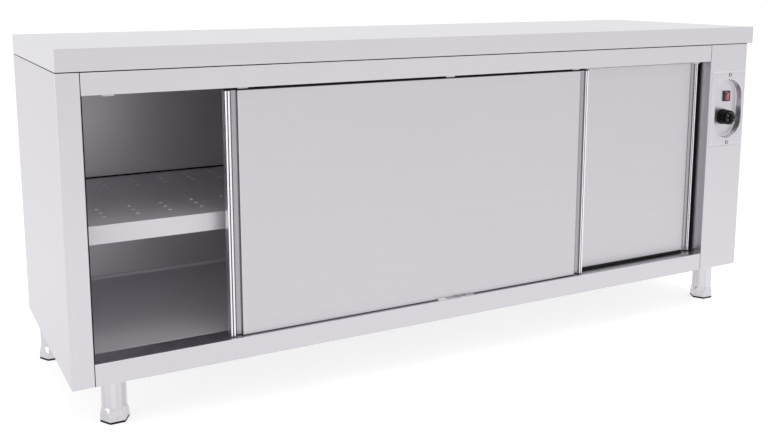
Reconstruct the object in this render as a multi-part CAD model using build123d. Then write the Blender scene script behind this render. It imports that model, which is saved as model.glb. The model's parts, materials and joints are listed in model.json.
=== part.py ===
"""Stainless plate warmer cabinet: two sliding doors, a heated compartment, one shelf and a control column.

Frame: +X to the right, +Y to the back, +Z up, sizes in mm. The origin is on the floor under the middle of
the worktop.
"""

import math
import os

from build123d import *

# ---------------------------------------------------------------- driving dimensions
LENGTH = 2000.0
DEPTH = 600.0
HEIGHT = 850.0

SHEET = 1.2  # casing sheet
TOP_SHEET = 1.5  # worktop sheet
DOOR_SHEET = 1.0

SKIRT = 48.0  # height of the worktop's edge
TOP_GAP = 2.0  # shadow gap between the edge and the casing
TOP_OVERHANG = 22.0  # at the right end only
TOP_BEND = 2.0
CORE_INSET = 12.0
BATTEN_WIDTH = 40.0
CORE_BOARD = 18.5

LEG_HEIGHT = 125.0
STILE = 48.0
COLUMN = 145.0
RAIL = 50.0  # face height of the top rail, gap included, and of the bottom rail
JAMB_DEPTH = 63.0  # from the front face back to the rear edge of the jambs and rails

DOOR_WIDTH = 1028.0
DOOR_THICK = 22.0
DOOR_SETBACK = 12.0  # front face of the front door behind the rails
DOOR_PITCH = 26.0  # rear door behind the front one
DOOR_LOW_GAP = 3.5
DOOR_TOP_GAP = 4.5
FRONT_DOOR_OPEN = 308.0  # how far each door stands from its closed place
REAR_DOOR_OPEN = 7.5
LIP = 8.5
GRIP_WIDTH = 20.0
GRIP_DEPTH = 9.0
SLOT_HALF = 4.5  # guide slot along the door's bottom
SLOT_DEPTH = 16.0
BUFFER = 3.0
STOP_GAP = 0.5

HANGER_INSET = 30.0  # hanger's edge from the door's edge
HANGER_WIDTH = 25.0
HANGER_SHEET = 2.0
ROLLER_RADIUS = 12.5
ROLLER_WIDTH = 8.0
ROLLER_HEIGHT = 25.0  # roller axis above the door
AXLE_RADIUS = 3.0
RUNNING = 0.05  # radial clearance of everything that turns
ROLLER_LIFT = 0.3

SHELF_TOP = 460.0
SHELF_FLANGE = 42.0
SHELF_FRONT = -228.0
SHELF_BACK = 296.0
SHELF_HOLE = 8.0
SHELF_HOLE_PITCH = 75.0
SHELF_HOLE_FIRST = -886.0
SHELF_ROWS = (-155.0, -115.0, -75.0, 156.0, 196.0, 236.0)

LEG_CENTRES = {
    "front_left": (-894.0, -204.0),
    "front_right": (938.0, -212.0),
    "back_left": (-955.0, 245.0),
    "back_right": (938.0, 245.0),
}
TUBE_RADIUS = 28.5
TUBE_WALL = 1.5
FOOT_FLATS = 57.0
FOOT_TOP = 36.0
PAD_HEIGHT = 5.0
PAD_FLATS = 57.0
STEM_RADIUS = 6.0
STEM_LENGTH = 70.0
INSERT_HEIGHT = 25.0

PLATE_WIDTH = 134.0
PLATE_TALL = 224.0
PLATE_X = 909.0
PLATE_Z = 610.0
PLATE_BEVEL = 7.0
PLATE_PROUD = 5.0
POCKET_WIDTH = 108.0
POCKET_TALL = 173.0
POCKET_DEPTH = 22.0
SCREW_OFFSET = 101.0

KNOB_X, KNOB_Z = 911.0, 584.0
KNOB_RADIUS = 23.0
KNOB_FRONT = 17.0  # how far the knob stands in front of the casing
SPINDLE_RADIUS = 3.0
SWITCH_X, SWITCH_Z = 921.0, 645.0
BEZEL_WIDTH = 26.0
BEZEL_TALL = 30.5
BEZEL_PROUD = 4.0
ROCKER_TILT = 8.0

FAN_Y, FAN_Z = 60.0, 300.0
DRUM_RADIUS = 92.0
DRUM_DEPTH = 57.0
FAN_RADIUS = 60.0
RING_RADIUS = 75.0
ELEMENT_RADIUS = 4.0
MOTOR_RADIUS = 35.0
MOTOR_LENGTH = 58.0
SHAFT_RADIUS = 4.0

SERVICE_X = (850.0, 962.0)
SERVICE_Z = (262.0, 690.0)
COVER_LAP = 11.0
GLAND_X, GLAND_Z = 905.0, 200.0
GLAND_BORE = 5.0

# ---------------------------------------------------------------- places worked out from them
LEFT, RIGHT = -LENGTH / 2, LENGTH / 2
FRONT, BACK = -DEPTH / 2, DEPTH / 2
BODY_RIGHT = RIGHT - TOP_OVERHANG
SKIRT_LOW = HEIGHT - SKIRT
BODY_TOP = SKIRT_LOW - TOP_GAP
OPEN_LEFT = LEFT + STILE
OPEN_RIGHT = BODY_RIGHT - COLUMN
OPEN_LOW = LEG_HEIGHT + RAIL
OPEN_TOP = SKIRT_LOW - RAIL
OPEN_MID = (OPEN_LEFT + OPEN_RIGHT) / 2
JAMB_BACK = FRONT + JAMB_DEPTH
WALL_BACK = BACK - SHEET  # inner face of the back panel
DOOR_LOW = OPEN_LOW + DOOR_LOW_GAP
DOOR_TOP = OPEN_TOP - DOOR_TOP_GAP
CEILING = BODY_TOP - 9.0
BASE_TOP = LEG_HEIGHT + 2 * SHEET  # upper face of the double underside panel
POCKET_FLOOR = FRONT - PLATE_PROUD + POCKET_DEPTH
DOORS = {
    "front_door": (OPEN_LEFT + BUFFER + STOP_GAP + FRONT_DOOR_OPEN, FRONT + DOOR_SETBACK),
    "rear_door": (
        OPEN_RIGHT - BUFFER - STOP_GAP - REAR_DOOR_OPEN - DOOR_WIDTH,
        FRONT + DOOR_SETBACK + DOOR_PITCH,
    ),
}


# ---------------------------------------------------------------- small fittings
SCREW_HEAD = 4.0
SCREW_SHANK = 2.0
SCREW_LENGTH = 12.0
PLATE_SCREWS = (PLATE_Z - SCREW_OFFSET, PLATE_Z + SCREW_OFFSET)
CAPILLARY = 1.2
GLAND_THREAD = 8.0
BULB_ENTRY = (-90.0, 715.0)  # (y, z) where the capillary crosses the partition
COVER_SCREWS = [
    (x, z)
    for x in (SERVICE_X[0] - 5, SERVICE_X[1] + 5)
    for z in (SERVICE_Z[0] + 8, (SERVICE_Z[0] + SERVICE_Z[1]) / 2, SERVICE_Z[1] - 8)
]
LOUVRES = [SERVICE_Z[0] + 30 + 16 * i for i in range(9)] + [SERVICE_Z[1] - 158 + 16 * i for i in range(9)]
BOLT_RADIUS = 6.0
STIFFENER_WIDTH = 60.0
STIFFENERS = (OPEN_MID - 500, OPEN_MID, OPEN_MID + 500)
TRACK_CLIPS = (-907.0, -70.0, 770.0)
GUIDE_X = (-66.0, 20.0)
GUIDE_SLOTS = ((-38.0, -23.0), (-17.0, -2.0))
SLIDER_X = (-60.0, 12.0)


# ---------------------------------------------------------------- shape helpers
def block(x, y, z):
    """A box from its two ends along each axis."""
    (x0, x1), (y0, y1), (z0, z1) = x, y, z
    centre = ((x0 + x1) / 2, (y0 + y1) / 2, (z0 + z1) / 2)
    return Pos(*centre) * Box(x1 - x0, y1 - y0, z1 - z0)


def outline(points):
    return make_face(Polyline(*points, close=True))


def along_x(points, x0, x1):
    """A (y, z) outline extruded from x0 to x1."""
    return extrude(Plane.YZ.offset(x0) * outline(points), amount=x1 - x0, dir=(1, 0, 0))


def along_z(points, z0, z1):
    """An (x, y) outline extruded from z0 to z1."""
    return extrude(Plane.XY.offset(z0) * outline(points), amount=z1 - z0, dir=(0, 0, 1))


def rod(start, direction, radius, length):
    """A round bar that starts at a point and runs along a direction."""
    ends = (Align.CENTER, Align.CENTER, Align.MIN)
    return Plane(origin=start, z_dir=direction) * Cylinder(radius, length, align=ends)


def tube(start, direction, outer, inner, length):
    return rod(start, direction, outer, length) - rod(start, direction, inner, length)


def hex_bar(start, direction, flats, length):
    section = RegularPolygon(flats / 2, 6, major_radius=False)
    return extrude(Plane(origin=start, z_dir=direction) * section, amount=length)


def stadium(x, z, width, tall, y0, y1):
    """An upright slot shape with round ends, from y0 back to y1."""
    section = Rot(0, 0, 90) * SlotOverall(tall, width)
    plane = Plane(origin=(x, y0, z), x_dir=(1, 0, 0), z_dir=(0, 1, 0))
    return extrude(plane * section, amount=y1 - y0)


def save(name, *shapes):
    """Writes one node, whose solids stay separate."""
    solids = [solid for shape in shapes for solid in shape.solids()]
    export_step(solids[0] if len(solids) == 1 else Compound(children=solids), f"parts/{name}.step")


# ---------------------------------------------------------------- worktop
def worktop():
    shell = block((LEFT, RIGHT), (FRONT, BACK), (SKIRT_LOW, HEIGHT))
    bends = shell.edges().group_by(Axis.Z)[-1]
    shell = fillet(bends, TOP_BEND)
    t = TOP_SHEET
    shell -= block((LEFT + t, RIGHT - t), (FRONT + t, BACK - t), (SKIRT_LOW + t, HEIGHT - t))
    core_x = (LEFT + CORE_INSET, BODY_RIGHT - TOP_GAP)
    core_y = (FRONT + CORE_INSET, BACK - CORE_INSET)
    shell -= block(core_x, core_y, (SKIRT_LOW, SKIRT_LOW + t))
    save("worktop_skin", shell)

    core = block(core_x, core_y, (BODY_TOP, HEIGHT - t))
    inner_x = (core_x[0] + BATTEN_WIDTH, core_x[1] - BATTEN_WIDTH)
    inner_y = (core_y[0] + BATTEN_WIDTH, core_y[1] - BATTEN_WIDTH)
    core -= block(inner_x, inner_y, (BODY_TOP, HEIGHT - t - CORE_BOARD))
    save("worktop_core", core)


# ---------------------------------------------------------------- casing
def left_side():
    t = SHEET
    high = (LEG_HEIGHT, BODY_TOP)
    panel = block((LEFT, LEFT + t), (FRONT, BACK), high)
    panel += block((LEFT, OPEN_LEFT), (FRONT, FRONT + t), high)
    panel += block((OPEN_LEFT - t, OPEN_LEFT), (FRONT, JAMB_BACK), (BASE_TOP, BODY_TOP))
    panel += block((LEFT, OPEN_LEFT), (FRONT, WALL_BACK), (BODY_TOP - t, BODY_TOP))
    save("left_side_panel", panel)

    inner = (OPEN_LEFT - t, OPEN_LEFT)
    save("left_inner_liner", block(inner, (JAMB_BACK, WALL_BACK), (OPEN_LOW, CEILING)))
    slab = block((LEFT + t, OPEN_LEFT - t), (FRONT + t, WALL_BACK), (BASE_TOP, BODY_TOP - t))
    for x, y in LEG_CENTRES.values():
        slab -= rod((x, y, BASE_TOP), (0, 0, 1), 20, 10)
    save("left_insulation", slab)


def column():
    t = SHEET
    high = (LEG_HEIGHT, BODY_TOP)
    sheet = block((OPEN_RIGHT, BODY_RIGHT), (FRONT, FRONT + t), high)
    sheet += block((BODY_RIGHT - t, BODY_RIGHT), (FRONT, BACK), high)
    sheet += block((OPEN_RIGHT, OPEN_RIGHT + t), (FRONT, JAMB_BACK), (BASE_TOP, BODY_TOP))
    sheet += block((OPEN_RIGHT, BODY_RIGHT), (FRONT, WALL_BACK), (BODY_TOP - t, BODY_TOP))
    room = 4.0
    sheet -= stadium(PLATE_X, PLATE_Z, POCKET_WIDTH + room, POCKET_TALL + room, FRONT - 1, FRONT + t + 1)
    for z in PLATE_SCREWS:
        sheet -= rod((PLATE_X, FRONT - 1, z), (0, 1, 0), SCREW_SHANK + RUNNING, t + 2)
    save("control_column", sheet)

    wall = block((OPEN_RIGHT, OPEN_RIGHT + t), (JAMB_BACK, WALL_BACK), (OPEN_LOW, BODY_TOP - t))
    wall -= rod((OPEN_RIGHT - 1, FAN_Y, FAN_Z), (1, 0, 0), DRUM_RADIUS, t + 2)
    wall -= rod((OPEN_RIGHT - 1, *BULB_ENTRY), (1, 0, 0), CAPILLARY + 1, t + 2)
    save("partition_wall", wall)


def back():
    t = SHEET
    x = (LEFT + t, BODY_RIGHT - t)
    panel = block(x, (WALL_BACK, BACK), (LEG_HEIGHT, BODY_TOP))
    panel -= block(SERVICE_X, (WALL_BACK - 1, BACK + 1), SERVICE_Z)
    panel -= rod((GLAND_X, WALL_BACK - 1, GLAND_Z), (0, 1, 0), GLAND_THREAD, t + 2)
    for x, z in COVER_SCREWS:
        panel -= rod((x, WALL_BACK - 1, z), (0, 1, 0), SCREW_SHANK + RUNNING, t + 2)
    save("back_panel", panel)

    cover_x = (SERVICE_X[0] - COVER_LAP, SERVICE_X[1] + COVER_LAP)
    cover_z = (SERVICE_Z[0] - COVER_LAP, SERVICE_Z[1] + COVER_LAP)
    cover = block(cover_x, (BACK, BACK + t), cover_z)
    slot_x = (SERVICE_X[0] + 16, SERVICE_X[1] - 16)
    for z in LOUVRES:
        cover -= block(slot_x, (BACK - 1, BACK + t + 1), (z, z + 6))
        hood = [(BACK + t, z + 9), (BACK + 5, z + 1), (BACK + 4, z), (BACK + t, z + 6)]
        cover += along_x(hood, *slot_x)
    for x, z in COVER_SCREWS:
        cover -= rod((x, BACK - 1, z), (0, 1, 0), SCREW_SHANK + RUNNING, t + 2)
    save("rear_access_cover", cover)


def rails():
    t = SHEET
    x = (OPEN_LEFT, OPEN_RIGHT)
    low = block(x, (FRONT, FRONT + t), (LEG_HEIGHT, OPEN_LOW))
    low += block(x, (FRONT, JAMB_BACK), (OPEN_LOW - t, OPEN_LOW))
    low += block(x, (JAMB_BACK - t, JAMB_BACK), (BASE_TOP, OPEN_LOW))
    save("bottom_rail", low)

    top = block(x, (FRONT, FRONT + t), (OPEN_TOP, BODY_TOP))
    top += block(x, (FRONT, JAMB_BACK), (BODY_TOP - t, BODY_TOP))
    top += block(x, (FRONT, FRONT + 8), (OPEN_TOP, OPEN_TOP + t))
    save("top_rail", top)


def floor_and_ceiling():
    t = SHEET
    x = (OPEN_LEFT, OPEN_RIGHT)
    deck = block(x, (JAMB_BACK, WALL_BACK), (OPEN_LOW - t, OPEN_LOW))
    deck += block(x, (WALL_BACK - t, WALL_BACK), (OPEN_LOW - t, OPEN_LOW + 6))
    y = (JAMB_BACK + 6, WALL_BACK - 6)
    for x_mid in STIFFENERS:
        wide = STIFFENER_WIDTH / 2
        hat = block((x_mid - wide, x_mid + wide), y, (BASE_TOP, OPEN_LOW - t))
        hat -= block((x_mid - wide + 2, x_mid + wide - 2), y, (BASE_TOP + 2, OPEN_LOW - t))
        deck += hat
    save("bottom_deck", deck)

    under = block((LEFT + t, BODY_RIGHT - t), (FRONT + t, WALL_BACK), (LEG_HEIGHT, BASE_TOP))
    for x_leg, y_leg in LEG_CENTRES.values():
        under -= rod((x_leg, y_leg, LEG_HEIGHT - 1), (0, 0, 1), BOLT_RADIUS, 5)
    save("underside_panel", under)
    liner = block(x, (JAMB_BACK, WALL_BACK), (CEILING, CEILING + t))
    liner += block(x, (WALL_BACK - t, WALL_BACK), (CEILING, BODY_TOP))
    save("ceiling_liner", liner)


def shelf():
    t = SHEET
    x = (OPEN_LEFT + 2, OPEN_RIGHT - 2)
    low = SHELF_TOP - SHELF_FLANGE
    sheet = block(x, (SHELF_FRONT, SHELF_BACK), (SHELF_TOP - t, SHELF_TOP))
    sheet += block(x, (SHELF_FRONT, SHELF_FRONT + t), (low, SHELF_TOP))
    sheet += block(x, (SHELF_FRONT, SHELF_FRONT + 14), (low, low + t))
    sheet += block(x, (SHELF_BACK - t, SHELF_BACK), (SHELF_TOP - 22, SHELF_TOP))
    columns = int((x[1] - SHELF_HOLE_FIRST) // SHELF_HOLE_PITCH) + 1
    holes = [
        rod((SHELF_HOLE_FIRST + i * SHELF_HOLE_PITCH, y, SHELF_TOP - 2 * t), (0, 0, 1), SHELF_HOLE / 2, 3 * t)
        for i in range(columns)
        for y in SHELF_ROWS
    ]
    save("shelf", sheet - holes)

    leg, wide = SHELF_TOP - t, 26.0
    left_x, right_x = OPEN_LEFT, OPEN_RIGHT
    y = (SHELF_FRONT + 18, SHELF_BACK - 26)
    rails = []
    for wall, way in ((left_x, 1), (right_x, -1)):
        upright = block(sorted((wall, wall + way * t)), y, (leg - 30, leg - 2))
        tread = block(sorted((wall, wall + way * wide)), y, (leg - 2, leg))
        rails.append(upright + tread)
    save("shelf_supports", *rails)


# ---------------------------------------------------------------- sliding doors
def door_profile(width, inset):
    """Front side of the door's section in (x, y) from its front left corner, moved inwards by inset."""
    a, b, c = inset, LIP - inset, LIP + GRIP_WIDTH + inset
    deep = GRIP_DEPTH + inset
    left = [(a, a), (b, a), (b, deep), (c, deep), (c, a)]
    right = [(width - px, py) for px, py in reversed(left)]
    return left + right


def door(name):
    x0, y0 = DOORS[name]
    w, d, t = DOOR_WIDTH, DOOR_THICK, DOOR_SHEET

    def shifted(points):
        return [(x0 + px, y0 + py) for px, py in points]

    outer = [(0, d - t), *door_profile(w, 0), (w, d - t)]
    inner = [(t, d - t), *door_profile(w, t), (w - t, d - t)]
    skin = along_z(shifted(outer + inner[::-1]), DOOR_LOW, DOOR_TOP)
    skin += along_z(shifted(inner), DOOR_TOP - t, DOOR_TOP)
    skin += along_z(shifted(inner), DOOR_LOW, DOOR_LOW + t)
    mid = y0 + d / 2
    slot_x = (x0 + LIP + GRIP_WIDTH + 2, x0 + w - LIP - GRIP_WIDTH - 2)
    skin -= block(slot_x, (mid - SLOT_HALF, mid + SLOT_HALF), (DOOR_LOW - 1, DOOR_LOW + t + 1))
    save(f"{name}_skin", skin)
    save(f"{name}_inner_skin", block((x0, x0 + w), (y0 + d - t, y0 + d), (DOOR_LOW, DOOR_TOP)))

    wall = SLOT_HALF + SHEET
    high = DOOR_LOW + t + SLOT_DEPTH
    channel = block(slot_x, (mid - wall, mid + wall), (DOOR_LOW + t, high + SHEET))
    channel -= block(slot_x, (mid - SLOT_HALF, mid + SLOT_HALF), (DOOR_LOW + t, high))
    save(f"{name}_bottom_channel", channel)

    gap = t
    c = LIP + GRIP_WIDTH + gap
    half = [(gap, d - gap), (gap, GRIP_DEPTH + gap), (c, GRIP_DEPTH + gap), (c, gap)]
    slab = half + [(w - px, py) for px, py in reversed(half)]
    save(f"{name}_core", along_z(shifted(slab), high + SHEET + 0.3, DOOR_TOP - gap))

    hangers = []
    for side, hx in (("left", x0 + HANGER_INSET), ("right", x0 + w - HANGER_INSET - HANGER_WIDTH)):
        span = (hx, hx + HANGER_WIDTH)
        axis_x, axis_z = hx + HANGER_WIDTH / 2, DOOR_TOP + ROLLER_HEIGHT
        plate_y = mid - 8
        bracket = block(span, (plate_y, mid + 8), (DOOR_TOP, DOOR_TOP + HANGER_SHEET))
        bracket += block(span, (plate_y, plate_y + HANGER_SHEET), (DOOR_TOP, axis_z + 11))
        bracket += rod((axis_x, plate_y, axis_z), (0, 1, 0), AXLE_RADIUS, ROLLER_WIDTH + 6)
        hangers.append(bracket)
        start = (axis_x, plate_y + HANGER_SHEET + 1.5, axis_z)
        roller = rod(start, (0, 1, 0), ROLLER_RADIUS, ROLLER_WIDTH)
        roller -= rod(start, (0, 1, 0), AXLE_RADIUS + RUNNING, ROLLER_WIDTH)
        save(f"{name}_{side}_roller", roller)
    save(f"{name}_hangers", *hangers)


def door_gear():
    """The double track, its clips, the jamb buffers and the bottom guide, all fixed to the casing."""
    t = 1.5
    x = (OPEN_LEFT + 0.5, OPEN_RIGHT - 0.5)
    low = DOOR_TOP + ROLLER_HEIGHT - ROLLER_RADIUS - ROLLER_LIFT
    high = BODY_TOP - SHEET
    mids = [y0 + DOOR_THICK / 2 for _, y0 in DOORS.values()]
    track = block(x, (mids[0] - 13, mids[1] + 12), (high - 2, high))
    for mid in mids:
        track += block(x, (mid + 9, mid + 9 + t), (low - t, high - 2))
        track += block(x, (mid - 4, mid + 9 + t), (low - t, low))
    save("door_track", track)

    clips = []
    for cx in TRACK_CLIPS:
        hook = block((cx, cx + 25), (FRONT + 8, FRONT + 9.5), (OPEN_TOP - 3.5, OPEN_TOP + 25))
        hook += block((cx, cx + 25), (FRONT + SHEET, FRONT + 9.5), (OPEN_TOP + 23.5, OPEN_TOP + 25))
        clips.append(hook)
    save("track_clips", *clips)

    starts = [mid - DOOR_THICK / 2 - 2 for mid in mids]
    z = (OPEN_LOW, OPEN_TOP - 1)
    left = block((OPEN_LEFT, OPEN_LEFT + BUFFER), (starts[0], JAMB_BACK), z)
    right = block((OPEN_RIGHT - BUFFER, OPEN_RIGHT), (starts[1], JAMB_BACK), z)
    save("door_buffers", left, right)

    plate = block(GUIDE_X, (FRONT + 3, JAMB_BACK - 5), (OPEN_LOW, OPEN_LOW + 2))
    for slot in GUIDE_SLOTS:
        plate -= block(slot, (FRONT + 4.5, FRONT + 10.5), (OPEN_LOW - 1, OPEN_LOW + 3))
    save("door_guide_bracket", plate)
    sliders = []
    for mid in mids:
        tongue = block(SLIDER_X, (mid - 4, mid + 4), (OPEN_LOW + 2, OPEN_LOW + 15))
        sliders.append(tongue)
    nose = block((GUIDE_X[0] - 20, GUIDE_X[0]), (FRONT + 3, mids[0] + 5), (OPEN_LOW, OPEN_LOW + 3))
    save("guide_sliders", *sliders, nose)


# ---------------------------------------------------------------- heating unit
def heating():
    axis = (1, 0, 0)
    t = 1.0
    face = OPEN_RIGHT + SHEET
    start = (face, FAN_Y, FAN_Z)
    drum = rod(start, axis, DRUM_RADIUS + t, DRUM_DEPTH + t) - rod(start, axis, DRUM_RADIUS, DRUM_DEPTH)
    drum += tube(start, axis, DRUM_RADIUS + 12, DRUM_RADIUS, 1.5)
    end = (face + DRUM_DEPTH, FAN_Y, FAN_Z)
    drum -= rod(end, axis, SHAFT_RADIUS + 3, t)
    for side in (-1, 1):
        drum -= rod((end[0], FAN_Y + side * RING_RADIUS, FAN_Z), axis, ELEMENT_RADIUS, t)
    save("fan_housing", drum)

    guard = rod((OPEN_RIGHT - 2.5, FAN_Y, FAN_Z), axis, DRUM_RADIUS + 10, 2.5)
    guard -= [
        rod((OPEN_RIGHT - 3, FAN_Y + r * math.cos(a), FAN_Z + r * math.sin(a)), axis, 5, 4)
        for r, count in ((0, 1), (15, 6), (30, 12), (45, 18), (78, 30))
        for a in [2 * math.pi * i / count for i in range(count)]
    ]
    save("fan_guard", guard)

    ring_x = face + 30
    ring = Plane(origin=(ring_x, FAN_Y, FAN_Z), z_dir=axis) * Torus(RING_RADIUS, ELEMENT_RADIUS)
    for side in (-1, 1):
        ring += rod((ring_x, FAN_Y + side * RING_RADIUS, FAN_Z), axis, ELEMENT_RADIUS, 46)
    save("heating_element", ring)

    motor_x = end[0] + t
    motor = rod((motor_x, FAN_Y, FAN_Z), axis, MOTOR_RADIUS, MOTOR_LENGTH)
    motor = fillet(motor.edges().group_by(Axis.X)[-1], 6)
    motor -= rod((motor_x, FAN_Y, FAN_Z), axis, SHAFT_RADIUS + RUNNING, 30)
    save("fan_motor", motor)

    disc_x = end[0] - 9
    wheel = rod((disc_x, FAN_Y, FAN_Z), axis, FAN_RADIUS, 1.5)
    wheel += rod((disc_x - 26, FAN_Y, FAN_Z), axis, 12, 26)
    wheel += rod((disc_x, FAN_Y, FAN_Z), axis, SHAFT_RADIUS, 36)
    blade = block((disc_x - 26, disc_x + 0.5), (-0.75, 0.75), (-10, 10))
    blades = 16
    for i in range(blades):
        turned = Rot(360 / blades * i, 0, 0) * Pos(0, 0, FAN_RADIUS - 12) * Rot(35, 0, 0) * blade
        wheel += Pos(0, FAN_Y, FAN_Z) * turned
    save("fan_impeller", wheel)


# ---------------------------------------------------------------- controls
def screw(x, y, z, way):
    """A pan head screw whose head stands on the plane y and faces way along Y."""
    head = rod((x, y, z), (0, way, 0), SCREW_HEAD, SCREW_HEAD * 0.6)
    head = fillet(head.edges().sort_by(Axis.Y)[0 if way < 0 else -1], 1.0)
    slot_y = sorted((y + way * SCREW_HEAD * 0.35, y + way * SCREW_HEAD))
    head -= block((x - SCREW_HEAD, x + SCREW_HEAD), slot_y, (z - 0.5, z + 0.5))
    return head + rod((x, y, z), (0, -way, 0), SCREW_SHANK, SCREW_LENGTH)


def tapered_plate(y0, y1, shrink):
    """A rectangle at y0 that narrows by shrink on each side by y1."""
    def face(y, inset):
        plane = Plane(origin=(PLATE_X, y, PLATE_Z), x_dir=(1, 0, 0), z_dir=(0, -1, 0))
        return plane * Rectangle(PLATE_WIDTH - 2 * inset, PLATE_TALL - 2 * inset)

    return loft([face(y0, 0), face(y1, shrink)])


def controls():
    t = SHEET
    proud = FRONT - PLATE_PROUD
    plate = tapered_plate(FRONT, proud, PLATE_BEVEL) - tapered_plate(FRONT + t, proud + t, PLATE_BEVEL)
    cup_w, cup_t = POCKET_WIDTH + 2 * t, POCKET_TALL + 2 * t
    plate += stadium(PLATE_X, PLATE_Z, cup_w, cup_t, proud + t, POCKET_FLOOR + t)
    plate -= stadium(PLATE_X, PLATE_Z, POCKET_WIDTH, POCKET_TALL, proud - 1, POCKET_FLOOR)
    plate -= rod((KNOB_X, proud, KNOB_Z), (0, 1, 0), SPINDLE_RADIUS + 2, 60)
    plate -= block(*switch_box(POCKET_FLOOR - 1, POCKET_FLOOR + t + 1))
    for z in PLATE_SCREWS:
        plate -= rod((PLATE_X, proud - 1, z), (0, 1, 0), SCREW_SHANK + RUNNING, 8)
    save("control_plate", plate)
    front_screws = [screw(PLATE_X, proud, z, -1) for z in PLATE_SCREWS]
    rear_screws = [screw(x, BACK + t, z, 1) for x, z in COVER_SCREWS]
    save("pan_head_screws", *front_screws, *rear_screws)

    back_face = POCKET_FLOOR + t
    body = block((KNOB_X - 20, KNOB_X + 20), (back_face, back_face + 36), (KNOB_Z - 20, KNOB_Z + 20))
    body -= rod((KNOB_X, back_face, KNOB_Z), (0, 1, 0), SPINDLE_RADIUS + RUNNING, 16)
    save("thermostat_body", body)

    knob_front = FRONT - KNOB_FRONT
    knob_back = POCKET_FLOOR - 1.5
    knob = rod((KNOB_X, knob_front, KNOB_Z), (0, 1, 0), KNOB_RADIUS, knob_back - knob_front)
    knob = fillet(knob.edges().sort_by(Axis.Y)[0], 2.5)
    knob += rod((KNOB_X, knob_back, KNOB_Z), (0, 1, 0), SPINDLE_RADIUS, back_face + 14 - knob_back)
    save("thermostat_knob", knob)

    rim = (BEZEL_WIDTH / 2, BEZEL_TALL / 2)
    frame = block(
        (SWITCH_X - rim[0], SWITCH_X + rim[0]),
        (POCKET_FLOOR - BEZEL_PROUD, POCKET_FLOOR),
        (SWITCH_Z - rim[1], SWITCH_Z + rim[1]),
    )
    frame += block(*switch_box(POCKET_FLOOR, POCKET_FLOOR + 24))
    frame -= block(
        (SWITCH_X - 9.5, SWITCH_X + 9.5),
        (POCKET_FLOOR - BEZEL_PROUD - 1, POCKET_FLOOR + 12),
        (SWITCH_Z - 12.8, SWITCH_Z + 12.8),
    )
    pivot_y = POCKET_FLOOR + 2
    frame -= rod((SWITCH_X - 10.8, pivot_y, SWITCH_Z), (1, 0, 0), 1.5 + RUNNING, 21.6)
    save("switch_body", frame)

    key = [(-8, -11), (-6, 0), (-8, 11), (-1.5, 11.3), (5, 5), (5, -5), (-1.5, -11.3)]
    rocker = along_x(key, -9.2, 9.2)
    rocker += rod((-10.6, 0, 0), (1, 0, 0), 1.5, 21.2)
    rocker = Pos(SWITCH_X, pivot_y, SWITCH_Z) * Rot(ROCKER_TILT, 0, 0) * rocker
    save("switch_rocker", rocker)


def switch_box(y0, y1):
    """Extents of the switch's housing behind its bezel."""
    return (SWITCH_X - 11, SWITCH_X + 11), (y0, y1), (SWITCH_Z - 14, SWITCH_Z + 14)


def sensor():
    """The thermostat's bulb in the compartment and the capillary that joins them."""
    y, z = BULB_ENTRY
    bulb = rod((OPEN_RIGHT - 8, y - 90, z), (0, 1, 0), 3, 80)
    route = [
        (OPEN_RIGHT - 8, y - 14, z),
        (OPEN_RIGHT - 8, y, z),
        (OPEN_RIGHT + 30, y, z),
        (OPEN_RIGHT + 50, y, KNOB_Z + 6),
        (KNOB_X - 10, y, KNOB_Z + 6),
        (KNOB_X - 10, POCKET_FLOOR + SHEET + 36, KNOB_Z + 6),
    ]
    path = FilletPolyline(*route, radius=[6, 14, 20, 12])
    section = Plane(origin=path @ 0, z_dir=path % 0) * Circle(CAPILLARY)
    for y_clip in (y - 78, y - 26):
        bulb += block((OPEN_RIGHT - 8, OPEN_RIGHT), (y_clip - 3, y_clip + 3), (z - 2, z + 2))
    save("thermostat_bulb", bulb + sweep(section, path=path))


def wiring_ends():
    terminal = block((OPEN_RIGHT + SHEET, OPEN_RIGHT + 18), (180, 250), (560, 584))
    for i in range(5):
        terminal -= rod((OPEN_RIGHT + 19, 189 + 13 * i, 572), (-1, 0, 0), 3, 8)
    save("terminal_block", terminal)

    axis = (0, 1, 0)
    body = hex_bar((GLAND_X, BACK, GLAND_Z), axis, 24, 6)
    body += rod((GLAND_X, BACK, GLAND_Z), axis, 9.5, KNOB_FRONT)
    body += rod((GLAND_X, WALL_BACK - 9, GLAND_Z), axis, GLAND_THREAD, 12)
    body += hex_bar((GLAND_X, WALL_BACK - 5, GLAND_Z), axis, 22, 5)
    body -= rod((GLAND_X, WALL_BACK - 9, GLAND_Z), axis, GLAND_BORE, 9 + SHEET + KNOB_FRONT)
    save("cable_gland", body)


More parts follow.
